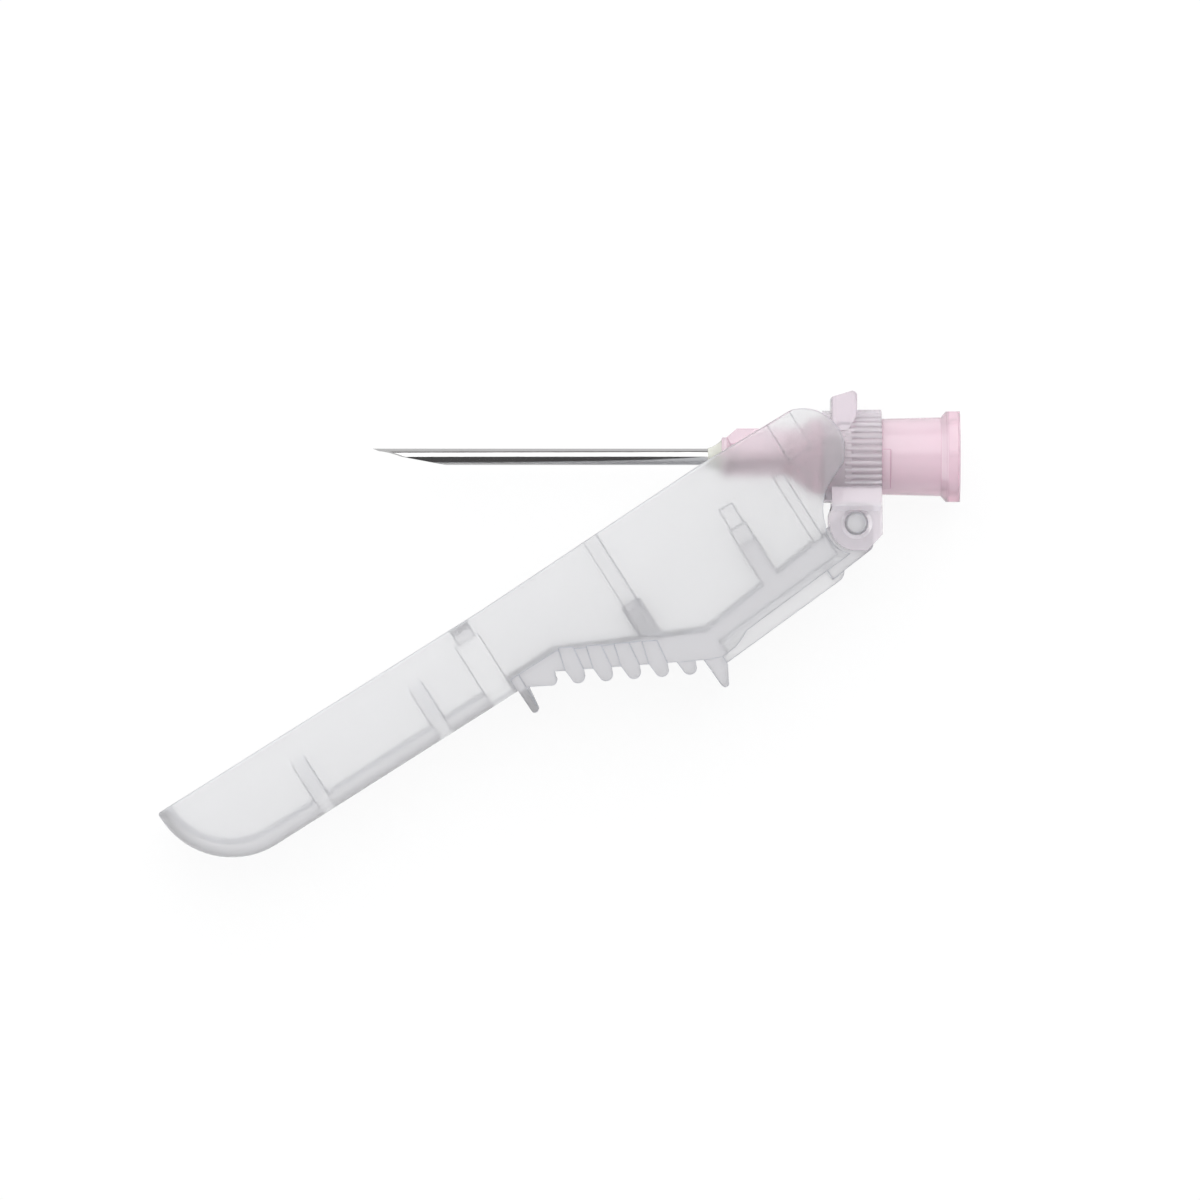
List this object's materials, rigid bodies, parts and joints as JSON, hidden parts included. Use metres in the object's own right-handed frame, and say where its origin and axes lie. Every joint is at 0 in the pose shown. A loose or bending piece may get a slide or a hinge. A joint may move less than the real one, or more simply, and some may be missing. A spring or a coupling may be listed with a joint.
{
  "type": "safety hypodermic needle",
  "caption": "Safety hypodermic needle: female luer lock hub, bevelled steel cannula, ribbed clear collar and a hinged clear U-shaped guard that swings over the cannula.",
  "frame": {"origin": "centre of the luer socket's mouth, on the cannula's axis", "axes": "+X out of the luer mouth towards the syringe, +Y up in the plane in which the guard swings, +Z along the hinge pins, up from the side on which the part lies"},
  "size_m": [0.061, 0.0355, 0.0092],
  "materials": {
    "steel": "ground and polished stainless steel",
    "adhesive": "cured clear yellowish adhesive",
    "pink_plastic": "translucent pink moulding, glossy",
    "clear_plastic": "clear translucent moulding, glossy",
    "frosted_plastic": "clear moulding with a fine frosted surface"
  },
  "bodies": {
    "needle": {"needle_tube": "steel", "adhesive": "adhesive", "hub": "pink_plastic", "collar": "clear_plastic"},
    "guard": {"guard": "frosted_plastic"}
  },
  "joints": [
    {"name": "guard_hinge", "type": "hinge", "parent": "needle", "child": "guard", "pos_m": [-0.00793, -0.0051, 0], "axis": [0, 0, -1], "range_deg": [-92, 32.4]}
  ]
}
